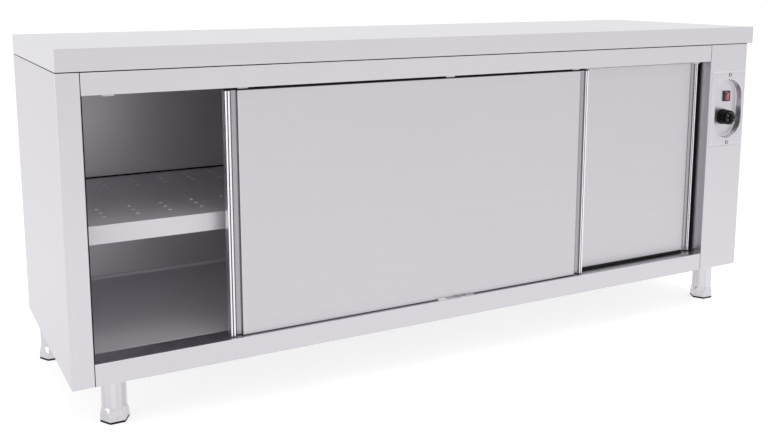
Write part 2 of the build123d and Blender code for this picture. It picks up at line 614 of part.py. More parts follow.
# ---------------------------------------------------------------- legs
def legs():
    up = (0, 0, 1)
    tubes, inserts, fixings = [], [], []
    for name, (x, y) in LEG_CENTRES.items():
        low = (x, y, FOOT_TOP)
        inner = TUBE_RADIUS - TUBE_WALL
        pipe_length = LEG_HEIGHT - FOOT_TOP
        pipe = rod(low, up, TUBE_RADIUS, pipe_length) - rod(low, up, inner, pipe_length - 4)
        pipe -= rod((x, y, LEG_HEIGHT - 5), up, BOLT_RADIUS, 6)
        tubes.append(pipe)
        inserts.append(tube(low, up, inner, STEM_RADIUS + RUNNING, INSERT_HEIGHT))
        fixing = hex_bar((x, y, BASE_TOP), up, 30, 6)
        fixings.append(fixing + rod((x, y, BASE_TOP), (0, 0, -1), BOLT_RADIUS, 20))

        flats = FOOT_FLATS / 2
        corner = flats / math.cos(math.pi / 6)
        rim = [(0, PAD_HEIGHT), (corner + 1, PAD_HEIGHT), (corner + 1, 17.5), (corner, 18), (28.2, FOOT_TOP)]
        cone = revolve(Plane.XZ * outline([*rim, (0, FOOT_TOP)]), Axis.Z)
        foot = hex_bar((0, 0, PAD_HEIGHT), up, FOOT_FLATS, FOOT_TOP - PAD_HEIGHT) & cone
        foot += rod((0, 0, FOOT_TOP - 1), up, STEM_RADIUS, STEM_LENGTH)
        save(f"{name}_foot", Pos(x, y, 0) * foot)
        save(f"{name}_pad", Pos(x, y, 0) * hex_bar((0, 0, 0), up, PAD_FLATS, PAD_HEIGHT))
    save("leg_tubes", *tubes)
    save("leg_inserts", *inserts)
    save("leg_fixings", *fixings)


os.makedirs("parts", exist_ok=True)
worktop()
left_side()
column()
back()
rails()
floor_and_ceiling()
shelf()
for name in DOORS:
    door(name)
door_gear()
heating()
controls()
sensor()
wiring_ends()
legs()
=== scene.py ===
"""Looks of a stainless plate warmer cabinet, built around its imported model.

Metres, +X to the right, +Y to the back, +Z up, with the origin on the floor under the middle of the worktop.
"""

import json
import math

import bmesh
import bpy
from mathutils import Matrix, Vector


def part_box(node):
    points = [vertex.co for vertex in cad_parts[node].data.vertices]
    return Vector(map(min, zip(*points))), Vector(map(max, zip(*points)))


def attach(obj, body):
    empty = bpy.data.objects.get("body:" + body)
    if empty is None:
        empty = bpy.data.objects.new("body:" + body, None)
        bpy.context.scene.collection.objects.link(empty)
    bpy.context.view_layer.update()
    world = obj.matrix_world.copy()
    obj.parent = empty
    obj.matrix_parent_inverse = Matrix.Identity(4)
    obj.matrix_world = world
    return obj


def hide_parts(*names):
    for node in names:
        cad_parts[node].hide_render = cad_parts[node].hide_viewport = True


MM = 0.001

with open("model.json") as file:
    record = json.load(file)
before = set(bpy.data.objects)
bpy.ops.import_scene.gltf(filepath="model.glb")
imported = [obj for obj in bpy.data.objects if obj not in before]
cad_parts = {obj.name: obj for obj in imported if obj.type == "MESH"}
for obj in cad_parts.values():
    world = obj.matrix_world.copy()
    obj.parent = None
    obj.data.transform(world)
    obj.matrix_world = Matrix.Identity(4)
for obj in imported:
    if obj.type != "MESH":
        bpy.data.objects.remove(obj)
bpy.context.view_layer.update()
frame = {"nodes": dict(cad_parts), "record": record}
scene = bpy.context.scene
scene.view_settings.view_transform = "Standard"


# ---------------------------------------------------------------- node trees
class Value:
    """A socket of a tree. Arithmetic on it adds Math nodes."""

    def __init__(self, tree, socket):
        self.tree, self.socket = tree, socket

    def _maths(self, operation, *terms):
        return self.tree.add("ShaderNodeMath", {"operation": operation}, dict(enumerate(terms)))

    def __add__(self, other):
        return self._maths("ADD", self, other)

    def __radd__(self, other):
        return self._maths("ADD", other, self)

    def __sub__(self, other):
        return self._maths("SUBTRACT", self, other)

    def __rsub__(self, other):
        return self._maths("SUBTRACT", other, self)

    def __mul__(self, other):
        return self._maths("MULTIPLY", self, other)

    def __rmul__(self, other):
        return self._maths("MULTIPLY", other, self)

    def __truediv__(self, other):
        return self._maths("DIVIDE", self, other)

    def __pow__(self, other):
        return self._maths("POWER", self, other)

    def __abs__(self):
        return self._maths("ABSOLUTE", self)

    def at_least(self, other):
        return self._maths("MAXIMUM", self, other)

    def at_most(self, other):
        return self._maths("MINIMUM", self, other)


class Tree:
    """A node tree whose nodes are all made by add()."""

    def __init__(self, tree):
        self.tree = tree

    def add(self, kind, settings=None, sockets=None, out=0):
        """One node: its settings first, then the values or links of its sockets. Returns one output."""
        node = self.tree.nodes.new(kind)
        for key, value in (settings or {}).items():
            setattr(node, key, value)
        for key, value in (sockets or {}).items():
            self.plug(node.inputs[key], value)
        return Value(self, node.outputs[out]) if node.outputs else None

    def plug(self, socket, value):
        for part in value if isinstance(value, list) else [value]:
            if isinstance(part, Value):
                self.tree.links.new(part.socket, socket)
            else:
                socket.default_value = part


class Finish(Tree):
    """A surface finish. What is the same all over stands on the shader's own sockets."""

    def __init__(self, name, **sockets):
        self.material = bpy.data.materials.new(name)
        self.material.use_nodes = True
        super().__init__(self.material.node_tree)
        self.shader = self.tree.nodes["Principled BSDF"]
        self.place = self.add("ShaderNodeTexCoord", out="Object")
        for key, value in sockets.items():
            self.set(key.replace("_", " ").title().replace("Ior", "IOR"), value)

    def set(self, socket, value):
        self.plug(self.shader.inputs[socket], value)

    def noise(self, scale, detail=2.0, roughness=0.5, shift=(0, 0, 0)):
        """A noise from 0 to 1 with its own number of features a metre along each axis."""
        sockets = {"Vector": self.place, "Location": shift, "Scale": scale}
        where = self.add("ShaderNodeMapping", None, sockets)
        sockets = {"Vector": where, "Scale": 1.0, "Detail": detail, "Roughness": roughness}
        return self.add("ShaderNodeTexNoise", None, sockets)

    def blend(self, share, first, second):
        """From one colour to another."""
        return self.add("ShaderNodeMix", {"data_type": "RGBA"}, {0: share, 6: first, 7: second}, out=2)

    def bump(self, height, distance):
        return self.add("ShaderNodeBump", None, {"Height": height, "Distance": distance, "Strength": 1.0})

    def axis(self, name):
        """One coordinate of the place on the piece, in metres."""
        return self.add("ShaderNodeSeparateXYZ", None, {"Vector": self.place}, out=name)


def rgb(red, green, blue):
    return (red, green, blue, 1.0)


def shaded(colour, share):
    return tuple(min(1.0, c * share) for c in colour[:3]) + (1.0,)


def along(axis, length_wise, across):
    """Noise scales for a grain that runs along one axis."""
    return tuple(length_wise if name == axis else across for name in "XYZ")


def steel(level):
    """The faintly cool grey of stainless steel at one lightness."""
    return rgb(level, level * 0.968, min(1.0, level * 1.024))


def brushed(name, level, grain="X", roughness=0.3, stretch=0.7, depth=1.0, metallic=1.0):
    """Stainless sheet with a fine grain."""
    turn = 0.25 if grain == "X" else 0.0
    finish = Finish(
        name, metallic=metallic, roughness=roughness, anisotropic=stretch, anisotropic_rotation=turn
    )
    hairs = finish.noise(along(grain, 6.0, 1700.0), detail=2.0, roughness=0.6)
    lines = finish.noise(along(grain, 1.3, 420.0), detail=3.0, roughness=0.6, shift=(3.1, 1.7, 5.3))
    clouds = finish.noise((2.6, 2.6, 3.4), detail=2.0, shift=(7.7, 2.2, 4.1))
    tone = 0.5 + (hairs - 0.5) * 0.8 + (lines - 0.5) * 0.55 + (clouds - 0.5) * 0.35
    finish.set("Base Color", finish.blend(tone, steel(level * 0.94), steel(level * 1.05)))
    finish.set("Roughness", roughness + (hairs - 0.5) * 0.1 + (clouds - 0.5) * 0.06)
    finish.set("Normal", finish.bump(hairs + lines * 0.6, 0.00002 * depth))
    return finish


def moulded(name, colour, roughness, grain=900.0, depth=0.00006, **sockets):
    """Moulded plastic or rubber with a fine grain and faint marks."""
    finish = Finish(name, roughness=roughness, **sockets)
    specks = finish.noise((grain,) * 3, detail=2.0)
    marks = finish.noise((22.0, 22.0, 22.0), detail=3.0, shift=(1.3, 0.4, 2.9))
    finish.set("Base Color", finish.blend(marks, shaded(colour, 0.86), shaded(colour, 1.14)))
    finish.set("Roughness", roughness + (specks - 0.5) * 0.12 + (marks - 0.5) * 0.12)
    finish.set("Normal", finish.bump(specks, depth))
    return finish


def speckled(name, dark, light, metallic, roughness, scale, depth=0.0001):
    """Cast, galvanised, board or felt: two tones in irregular patches."""
    finish = Finish(name, metallic=metallic, roughness=roughness)
    patches = finish.noise((scale,) * 3, detail=4.0, roughness=0.65)
    fine = finish.noise((scale * 7,) * 3, detail=2.0, shift=(2.0, 4.0, 6.0))
    share = (patches - 0.5) * 2.4 + 0.5 + (fine - 0.5) * 0.5
    finish.set("Base Color", finish.blend(share, dark, light))
    finish.set("Roughness", roughness + (patches - 0.5) * 0.25)
    finish.set("Normal", finish.bump(fine + patches, depth))
    return finish


def reflection_streaked(name):
    """Drawn tube, with bright and dull streaks along it that are painted reflections."""
    finish = Finish(name, metallic=1.0, roughness=0.2)
    streaks = finish.noise((95.0, 95.0, 0.05), detail=2.0, roughness=0.55, shift=(4.3, 8.1, 0.0))
    fine = finish.noise((420.0, 420.0, 0.4), detail=2.0, shift=(1.9, 6.2, 0.0))
    tone = 0.5 + (streaks - 0.5) * 1.2 + (fine - 0.5) * 0.2
    # painted reflections: the streaks lighten and darken the base colour
    finish.set("Base Color", finish.blend(tone, steel(0.50), steel(0.74)))
    finish.set("Roughness", 0.16 + (fine - 0.5) * 0.1)
    finish.set("Normal", finish.bump(fine, 0.000004))
    return finish


finishes = {
    "worktop_steel": brushed("worktop_steel", 0.62, roughness=0.25, stretch=0.0),
    "casing_steel": brushed("casing_steel", 0.62, roughness=0.31),
    "upright_steel": brushed("upright_steel", 0.62, grain="Z", roughness=0.31, stretch=0.5),
    "door_steel": brushed("door_steel", 0.57, roughness=0.3),
    # painted shade and highlight on the doors: the grip channel and crease are darker steel for shade, the
    # lip lighter steel for a highlight
    "grip_steel": brushed("grip_steel", 0.36, grain="Z", roughness=0.24, stretch=0.0),
    "lip_steel": brushed("lip_steel", 0.9, grain="Z", roughness=0.24, stretch=0.0, depth=0.02),
    "crease_steel": brushed(
        "crease_steel", 0.2, grain="Z", roughness=0.5, stretch=0.0, depth=0.1, metallic=0.3
    ),
    "inner_steel": brushed("inner_steel", 0.80, roughness=0.42, stretch=0.0, metallic=0.4),
    "shelf_steel": brushed("shelf_steel", 0.80, roughness=0.42, stretch=0.0, metallic=0.4),
    # painted highlight: white for the deck's rear hem and the shelf's pressed lips
    "hem_white": brushed("hem_white", 0.95, roughness=0.4, stretch=0.0, metallic=0.0),
    "panel_steel": brushed("panel_steel", 0.62, roughness=0.37, stretch=0.0),
    "track_steel": brushed("track_steel", 0.55, roughness=0.35, stretch=0.3),
    "leg_steel": reflection_streaked("leg_steel"),
    "bright_screws": brushed("bright_screws", 0.80, roughness=0.22, stretch=0.0),
    "element_steel": speckled(
        "element_steel", rgb(0.22, 0.17, 0.13), rgb(0.45, 0.40, 0.36), 0.9, 0.45, 60.0, 0.00005
    ),
    "foot_steel": speckled("foot_steel", steel(0.58), steel(0.68), 1.0, 0.24, 90.0, 0.00001),
    "galvanised": speckled("galvanised", rgb(0.46, 0.48, 0.50), rgb(0.63, 0.65, 0.66), 0.85, 0.42, 45.0),
    "chipboard": speckled(
        "chipboard", rgb(0.42, 0.29, 0.17), rgb(0.70, 0.53, 0.35), 0.0, 0.85, 260.0, 0.0004
    ),
    "door_board": speckled(
        "door_board", rgb(0.58, 0.53, 0.38), rgb(0.76, 0.71, 0.56), 0.0, 0.9, 180.0, 0.0003
    ),
    "rock_wool": speckled(
        "rock_wool", rgb(0.40, 0.38, 0.22), rgb(0.62, 0.58, 0.40), 0.0, 0.95, 140.0, 0.0012
    ),
    "aluminium_wheel": speckled(
        "aluminium_wheel", rgb(0.68, 0.68, 0.70), rgb(0.80, 0.80, 0.82), 1.0, 0.32, 80.0, 0.00005
    ),
    "copper": speckled("copper", rgb(0.60, 0.33, 0.20), rgb(0.78, 0.50, 0.34), 1.0, 0.3, 90.0, 0.00004),
    "black_rubber": moulded("black_rubber", rgb(0.012, 0.012, 0.013), 0.62, specular_ior_level=0.2),
    "white_nylon": moulded("white_nylon", rgb(0.84, 0.84, 0.82), 0.4),
    "black_plastic": moulded("black_plastic", rgb(0.024, 0.024, 0.028), 0.42),
    "knob_black": moulded(
        "knob_black", rgb(0.004, 0.004, 0.005), 0.16, depth=0.00002, specular_ior_level=0.1
    ),
    "screw_black": moulded("screw_black", rgb(0.01, 0.01, 0.011), 0.3, specular_ior_level=0.2),
    "motor_black": moulded("motor_black", rgb(0.055, 0.055, 0.06), 0.5, grain=500.0),
    "mark_white": moulded("mark_white", rgb(0.62, 0.62, 0.64), 0.5, depth=0.00001),
}


LENS_LIT_HIGHLIGHT_X = 0.9265
LENS_LIT_HIGHLIGHT_REACH = 13 * MM


def lit_lens(name):
    """The red lens of a lit switch: it glows, and a patch towards its right is lighter and glows pink, partly
    the lamp behind it and partly a painted highlight.
    """
    finish = Finish(name, roughness=0.18, coat_weight=0.3, emission_strength=0.12)
    glow = finish.noise((120.0, 120.0, 90.0), detail=1.0)
    # painted highlight and glow: a lighter, pink-glowing patch towards the lens's right
    nearness = (1.0 - abs(finish.axis("X") - LENS_LIT_HIGHLIGHT_X) / LENS_LIT_HIGHLIGHT_REACH).at_least(0.0)
    patch = (nearness * (0.6 + glow * 0.8)).at_most(1.0)
    finish.set("Base Color", finish.blend(patch, rgb(0.09, 0.008, 0.016), rgb(0.62, 0.10, 0.15)))
    finish.set("Emission Color", finish.blend(patch, rgb(0.02, 0.0, 0.0), rgb(0.95, 0.2, 0.3)))
    return finish


finishes["red_lens"] = lit_lens("red_lens")


# ---------------------------------------------------------------- mesh helpers
def piece(name, mesh, names, body="cabinet", nodes=()):
    """Puts a finished mesh into the scene, riding on a body and standing for some nodes."""
    obj = bpy.data.objects.new(name, mesh)
    scene.collection.objects.link(obj)
    for finish in names:
        mesh.materials.append(finishes[finish].material)
    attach(obj, body)
    if nodes:
        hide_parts(*nodes)
    return obj


def to_mesh(name, bm, sharp=30.0):
    """A mesh from bmesh, smooth except across edges sharper than the given angle."""
    bmesh.ops.recalc_face_normals(bm, faces=bm.faces)
    mesh = bpy.data.meshes.new(name)
    bm.to_mesh(mesh)
    bm.free()
    for polygon in mesh.polygons:
        polygon.use_smooth = True
    mesh.set_sharp_from_angle(angle=math.radians(sharp))
    return mesh


def breadth(face):
    """How wide a face is, were it a strip."""
    return 2 * face.calc_area() / face.calc_perimeter()


def shorten(bm, gap):
    """Draws both ends of a rail in, which leaves a seam beside its neighbours."""
    ends = [min(v.co.x for v in bm.verts), max(v.co.x for v in bm.verts)]
    for vert in bm.verts:
        for end, way in zip(ends, (1, -1)):
            if abs(vert.co.x - end) < 0.1 * MM:
                vert.co.x += way * gap


def folded(node, names, body="cabinet", bend=1.6, rim=0.3, short=0.0):
    """A sheet node's shape with round folds and eased cut edges, in place of the node."""
    bm = bmesh.new()
    bm.from_mesh(frame["nodes"][node].data)
    bmesh.ops.remove_doubles(bm, verts=bm.verts, dist=1e-6)
    bmesh.ops.dissolve_limit(bm, angle_limit=math.radians(1), verts=bm.verts, edges=bm.edges)
    weights = bm.edges.layers.float.new("bevel_weight_edge")
    for edge in bm.edges:
        if len(edge.link_faces) == 2 and edge.is_convex and edge.calc_face_angle() > math.radians(30):
            fold = min(breadth(face) for face in edge.link_faces) > 3 * MM
            edge[weights] = 1.0 if fold else rim / bend
    if short:
        shorten(bm, short * MM)
    obj = piece(f"{node}_folded", to_mesh(node, bm), names, body, [node])
    round_folds(obj, bend)
    return obj


def round_folds(obj, bend):
    """Rounds the marked edges and leaves the flats between them flat."""
    bevel = obj.modifiers.new("folds", "BEVEL")
    bevel.limit_method = "WEIGHT"
    bevel.width = bend * MM
    bevel.segments = 3
    bevel.harden_normals = True


def lofted(loops, cap=False):
    """A bmesh skin through closed loops of equally many points."""
    bm = bmesh.new()
    rings = [[bm.verts.new(point) for point in loop] for loop in loops]
    count = len(rings[0])
    for ring, following in zip(rings, rings[1:]):
        for i in range(count):
            j = (i + 1) % count
            bm.faces.new((ring[i], ring[j], following[j], following[i]))
    if cap:
        bm.faces.new(rings[-1])
    return bm


def turned(profile, steps, flute=None):
    """Points of (radius, height) turned about Z. flute changes a radius by its angle."""
    loops = []
    for radius, height in profile:
        loop = []
        for i in range(steps):
            angle = 2 * math.pi * i / steps
            r = radius + (flute(radius, height, angle) if flute else 0.0)
            loop.append(Vector((r * math.cos(angle), r * math.sin(angle), height)))
        loops.append(loop)
    bm = lofted(loops)
    for end in (0, -1):
        loop = loops[end]
        verts = [v for v in bm.verts if any((v.co - p).length < 1e-9 for p in loop)]
        ordered = sorted(verts, key=lambda v: math.atan2(v.co.y, v.co.x))
        bm.faces.new(ordered)
    return bm


def solidify(obj, thickness):
    wall = obj.modifiers.new("sheet", "SOLIDIFY")
    wall.thickness = thickness
    wall.offset = -1.0


# ---------------------------------------------------------------- repeated shapes
class Pattern(Tree):
    """A geometry node group with named sizes, which is run once and leaves a plain mesh."""

    KINDS = {float: "NodeSocketFloat", int: "NodeSocketInt"}

    def __init__(self, name, sizes):
        super().__init__(bpy.data.node_groups.new(name, "GeometryNodeTree"))
        face = self.tree.interface
        face.new_socket("Points", in_out="INPUT", socket_type="NodeSocketGeometry")
        self.sizes = sizes
        for key, value in sizes.items():
            face.new_socket(key, in_out="INPUT", socket_type=self.KINDS[type(value)])
        face.new_socket("Material", in_out="INPUT", socket_type="NodeSocketMaterial")
        face.new_socket("Mesh", in_out="OUTPUT", socket_type="NodeSocketGeometry")
        self.source = self.tree.nodes.new("NodeGroupInput")

    def given(self, name):
        return Value(self, self.source.outputs[name])

    def close(self, instances):
        """Ends the group in Realize Instances and Set Material."""
        real = self.add("GeometryNodeRealizeInstances", None, {0: instances})
        sockets = {"Geometry": real, "Material": self.given("Material")}
        painted = self.add("GeometryNodeSetMaterial", None, sockets)
        self.add("NodeGroupOutput", None, {0: painted})

    def run(self, name, points, finish, facing=None):
        """The group's result on a cloud of points, as a plain mesh."""
        cloud = bpy.data.meshes.new(name)
        cloud.from_pydata(points, [], [])
        if facing:
            layer = cloud.attributes.new("facing", "FLOAT_VECTOR", "POINT")
            for i, way in enumerate(facing):
                layer.data[i].vector = way
        obj = bpy.data.objects.new(name, cloud)
        scene.collection.objects.link(obj)
        modifier = obj.modifiers.new(name, "NODES")
        modifier.node_group = self.tree
        values = {**self.sizes, "Material": finishes[finish].material}
        for item in self.tree.interface.items_tree:
            if item.in_out == "INPUT" and item.name in values:
                modifier[item.identifier] = values[item.name]
        evaluated = obj.evaluated_get(bpy.context.evaluated_depsgraph_get())
        mesh = bpy.data.meshes.new_from_object(evaluated)
        bpy.data.objects.remove(obj)
        return mesh


def combined(tree, x, y, z):
    return tree.add("ShaderNodeCombineXYZ", None, {0: x, 1: y, 2: z})


def screw_pattern():
    """Pan heads with a cross recess, each turned to its point's facing."""
    tree = Pattern("pan_heads", {"Radius": 3.8 * MM, "Height": 2.4 * MM, "Recess": 1.3 * MM})
    radius, height, recess = (tree.given(key) for key in tree.sizes)
    ball = tree.add("GeometryNodeMeshUVSphere", None, {"Segments": 32, "Rings": 16, "Radius": radius})
    dome = tree.add(
        "GeometryNodeTransform", None, {"Geometry": ball, "Scale": combined(tree, 1.0, 1.0, height / radius)}
    )
    wide = radius * 3.0
    block = tree.add("GeometryNodeMeshCube", None, {"Size": combined(tree, wide, wide, height * 2.0)})
    lift = combined(tree, 0.0, 0.0, height * 0.99)
    upper = tree.add("GeometryNodeTransform", None, {"Geometry": block, "Translation": lift})
    head = tree.add("GeometryNodeMeshBoolean", {"operation": "INTERSECT"}, {"Mesh 2": [dome, upper]})
    cuts = []
    for long_way in (True, False):
        size = (radius * 1.1, radius * 0.26) if long_way else (radius * 0.26, radius * 1.1)
        bar = tree.add("GeometryNodeMeshCube", None, {"Size": combined(tree, *size, recess * 2.0)})
        top = combined(tree, 0.0, 0.0, height)
        cuts.append(tree.add("GeometryNodeTransform", None, {"Geometry": bar, "Translation": top}))
    head = tree.add("GeometryNodeMeshBoolean", {"operation": "DIFFERENCE"}, {"Mesh 1": head, "Mesh 2": cuts})
    way = tree.add("GeometryNodeInputNamedAttribute", {"data_type": "FLOAT_VECTOR"}, {"Name": "facing"})
    turn = tree.add("FunctionNodeAlignRotationToVector", {"axis": "Z"}, {"Vector": way})
    sockets = {"Points": tree.given("Points"), "Instance": head, "Rotation": turn}
    spots = tree.add("GeometryNodeInstanceOnPoints", None, sockets)
    tree.close(spots)
    return tree


def lip_pattern():
    """Low round lips pressed up round holes."""
    tree = Pattern("pressed_lips", {"Radius": 4.6 * MM, "Bead": 0.7 * MM})
    path, bead = (
        tree.add("GeometryNodeCurvePrimitiveCircle", None, {"Resolution": steps, "Radius": tree.given(key)})
        for steps, key in ((20, "Radius"), (6, "Bead"))
    )
    ring = tree.add("GeometryNodeCurveToMesh", None, {"Curve": path, "Profile Curve": bead})
    spots = tree.add("GeometryNodeInstanceOnPoints", None, {"Points": tree.given("Points"), "Instance": ring})
    tree.close(spots)
    return tree


def louvre_pattern():
    """Pressed hoods, open along their lower edge, that stand out along +Y."""
    tree = Pattern("louvre_hoods", {"Length": 0.08, "Tall": 10 * MM, "Proud": 4.2 * MM})
    length, tall, proud = (tree.given(key) for key in tree.sizes)
    sheet = tree.add(
        "GeometryNodeMeshGrid", None, {"Size X": length, "Size Y": tall, "Vertices X": 25, "Vertices Y": 9}
    )
    spot = tree.add("GeometryNodeInputPosition")
    x = tree.add("ShaderNodeSeparateXYZ", None, {0: spot}, out="X")
    y = tree.add("ShaderNodeSeparateXYZ", None, {0: spot}, out="Y")
    end = (1.0 - abs(x / (length * 0.5)) ** 8.0).at_least(0.0) ** 0.5
    fall = (0.5 - y / tall).at_least(0.0).at_most(1.0)
    swell = (1.0 - (1.0 - fall) ** 2.0).at_least(0.0) ** 0.5
    lifted = combined(tree, x, proud * end * swell, y)
    hood = tree.add("GeometryNodeSetPosition", None, {"Geometry": sheet, "Position": lifted})
    spots = tree.add("GeometryNodeInstanceOnPoints", None, {"Points": tree.given("Points"), "Instance": hood})
    tree.close(spots)
    return tree


def tick_pattern():
    """Short bars laid round a dial, one for each point, whose x is its angle."""
    sizes = {"Ring": 17.2 * MM, "Length": 2.6 * MM, "Width": 0.55 * MM, "Thick": 0.12 * MM}
    tree = Pattern("dial_ticks", sizes)
    ring, length, width, thick = (tree.given(key) for key in tree.sizes)
    spot = tree.add("GeometryNodeInputPosition")
    angle = tree.add("ShaderNodeSeparateXYZ", None, {0: spot}, out="X")
    cosine = tree.add("ShaderNodeMath", {"operation": "COSINE"}, {0: angle})
    sine = tree.add("ShaderNodeMath", {"operation": "SINE"}, {0: angle})
    laid = tree.add(
        "GeometryNodeSetPosition",
        None,
        {"Geometry": tree.given("Points"), "Position": combined(tree, ring * cosine, ring * sine, 0.0)},
    )
    bar = tree.add("GeometryNodeMeshCube", None, {"Size": combined(tree, length, width, thick)})
    where = tree.add("GeometryNodeInputPosition")
    turn = tree.add("FunctionNodeAlignRotationToVector", {"axis": "X"}, {"Vector": where})
    spots = tree.add(
        "GeometryNodeInstanceOnPoints", None, {"Points": laid, "Instance": bar, "Rotation": turn}
    )
    tree.close(spots)
    return tree


# ---------------------------------------------------------------- worktop
def worktop():
    """One folded top with round edges and a hem turned in under its skirts."""
    low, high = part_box("worktop_skin")
    bm = bmesh.new()
    bmesh.ops.create_cube(bm, size=1.0)
    bmesh.ops.scale(bm, vec=high - low, verts=bm.verts)
    bmesh.ops.translate(bm, vec=(low + high) / 2, verts=bm.verts)
    weights = bm.edges.layers.float.new("bevel_weight_edge")
    for edge in bm.edges:
        edge[weights] = 1.0
    under = min(bm.faces, key=lambda face: face.calc_center_median().z)
    bmesh.ops.inset_region(bm, faces=[under], thickness=10 * MM)
    bmesh.ops.delete(bm, geom=[under], context="FACES_ONLY")
    bmesh.ops.recalc_face_normals(bm, faces=bm.faces)
    top = piece("worktop", to_mesh("worktop", bm), ["worktop_steel"], nodes=["worktop_skin"])
    solidify(top, 1.5 * MM)
    round_folds(top, 3.2)


# ---------------------------------------------------------------- casing
def casing():
    for rail in ("top_rail", "bottom_rail"):
        folded(rail, ["casing_steel"], short=SEAM)
    folded("left_side_panel", ["upright_steel"], bend=2.5)
    folded("control_column", ["upright_steel"])
    folded("shelf", ["shelf_steel"], bend=2.5)
    folded("bottom_deck", ["inner_steel"])


CASING_FRONT = -0.3
SHEET = 1.2 * MM
SEAM = 1.6  # millimetres


def block_mesh(name, blocks):
    """A mesh of upright boxes, each given as its two opposite corners."""
    bm = bmesh.new()
    for low, high in blocks:
        low, high = Vector(low), Vector(high)
        made = bmesh.ops.create_cube(bm, size=1.0)["verts"]
        bmesh.ops.scale(bm, vec=high - low, verts=made)
        bmesh.ops.translate(bm, vec=(low + high) / 2, verts=made)
    weights = bm.edges.layers.float.new("bevel_weight_edge")
    for edge in bm.edges:
        edge[weights] = 1.0
    return to_mesh(name, bm)


def seam_shade_strips():
    """Black strips in the seams beside the rails and under the worktop's edge, put there as painted shade in
    the gaps.
    """
    blocks = []
    for rail in ("top_rail", "bottom_rail"):
        low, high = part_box(rail)
        for x0, x1 in ((low.x, low.x + SEAM * MM), (high.x - SEAM * MM, high.x)):
            blocks.append(((x0, CASING_FRONT + 0.9 * MM, low.z), (x1, CASING_FRONT + 9 * MM, high.z)))
    side_low, side_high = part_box("left_side_panel")
    left, right = side_low.x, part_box("control_column")[1].x
    front, back, inset, wide = CASING_FRONT, -CASING_FRONT, 0.7 * MM, 6 * MM
    z0, z1 = side_high.z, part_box("worktop_skin")[0].z
    blocks.append(((left + inset, front + inset, z0), (right - inset, front + wide, z1)))
    blocks.append(((left + inset, front + wide, z0), (left + wide, back - wide, z1)))
    blocks.append(((right - wide, front + wide, z0), (right - inset, back - wide, z1)))
    # painted shade: the strips are black
    strips = piece("seam_shade_strips", block_mesh("seam_shade_strips", blocks), ["black_rubber"])
    round_folds(strips, 0.2)


def jamb_rubbers_and_shade():
    """Rubber strips that stop the doors: the full depth at the left, behind the rear door at the right. Their
    black also stands as painted shade beside the doors, and the left one reaches forward to just behind the
    casing's front for it.
    """
    low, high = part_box("door_buffers")
    # painted shade as well as rubber: the strips are black, the left one starting just behind the casing's
    # front
    strips = [
        (low.x, low.x + 3 * MM, CASING_FRONT + 0.8 * MM, high.y),
        (high.x - 3 * MM, high.x, REAR_DOOR_FRONT - 2 * MM, high.y),
    ]
    blocks = [((x0, y0, low.z), (x1, y1, high.z)) for x0, x1, y0, y1 in strips]
    mesh = block_mesh("jamb_rubbers_and_shade", blocks)
    round_folds(piece("jamb_rubbers_and_shade", mesh, ["black_rubber"], nodes=["door_buffers"]), 0.8)


def shelf_lips():
    rows = (-155.0, -115.0, -75.0, 156.0, 196.0, 236.0)
    _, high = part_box("shelf")
    first, pitch = -886.0, 75.0
    columns = int((high.x / MM - first) // pitch) + 1
    top = high.z - 0.15 * MM
    points = [((first + pitch * i) * MM, y * MM, top) for i in range(columns) for y in rows]
    # painted highlight: the pressed lips are white
    mesh = lip_pattern().run("shelf_lips", points, "hem_white")
    piece("shelf_lips", mesh, [])


def rod_along_x(name, x_ends, y, z, radius_y, radius_z, finish):
    """A round or oval rod with closed ends."""
    steps = 20
    loops = []
    for x in x_ends:
        angles = [2 * math.pi * i / steps for i in range(steps)]
        loops.append([Vector((x, y + radius_y * math.cos(a), z + radius_z * math.sin(a))) for a in angles])
    bm = lofted(loops, cap=True)
    bm.verts.ensure_lookup_table()
    bm.faces.new(bm.verts[:steps])
    piece(name, to_mesh(name, bm), [finish])


def rear_edges():
    """The closed hem on the deck's rear upturn, white as a painted highlight, and a black strip along the
    shelf's rear edge as painted shade.
    """
    low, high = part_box("bottom_deck")
    below = (low.x + 1 * MM, high.y - 5 * MM, high.z - 4 * MM)
    above = (high.x - 1 * MM, high.y - 0.5 * MM, high.z + 5 * MM)
    hem_mesh = block_mesh("deck_rear_hem", [(below, above)])
    # painted highlight: the hem is white
    hem = piece("deck_rear_hem", hem_mesh, ["hem_white"])
    round_folds(hem, 0.9)
    low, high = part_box("shelf")
    ends = (low.x + 1 * MM, high.x - 1 * MM)
    y, z = high.y - 1.5 * MM, high.z + 1 * MM
    # painted shade: a black strip along the shelf's rear edge
    rod_along_x("shelf_rear_shade_strip", ends, y, z, 2.2 * MM, 2.6 * MM, "black_rubber")


def access_cover():
    """The slotted rear cover and the hoods over its slots."""
    low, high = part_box("rear_access_cover")
    slot_x = (866 * MM, 946 * MM)
    slots = [(first + 16 * i) * MM for first in (292, 532) for i in range(9)]
    outside = low.y + SHEET
    xs = [low.x, *slot_x, high.x]
    zs = [low.z]
    for z in slots:
        zs += [z, z + 6 * MM]
    zs.append(high.z)
    bm = bmesh.new()
    grid = [[bm.verts.new((x, outside, z)) for x in xs] for z in zs]
    for row in range(len(zs) - 1):
        for column in range(3):
            if column == 1 and row % 2 == 1:
                continue
            corners = (
                grid[row][column],
                grid[row][column + 1],
                grid[row + 1][column + 1],
                grid[row + 1][column],
            )
            bm.faces.new(corners[::-1])
    mesh = to_mesh("access_cover", bm)
    cover = piece("access_cover", mesh, ["casing_steel"], nodes=["rear_access_cover"])
    solidify(cover, SHEET)
    points = [(sum(slot_x) / 2, outside, z + 4 * MM) for z in slots]
    hoods = louvre_pattern().run("louvre_hoods", points, "casing_steel")
    solidify(piece("louvre_hoods", hoods, []), 0.8 * MM)


WASHER = ((2.6, 0.0), (5.4, 0.0), (5.4, 0.5), (4.9, 0.9), (2.6, 1.1))


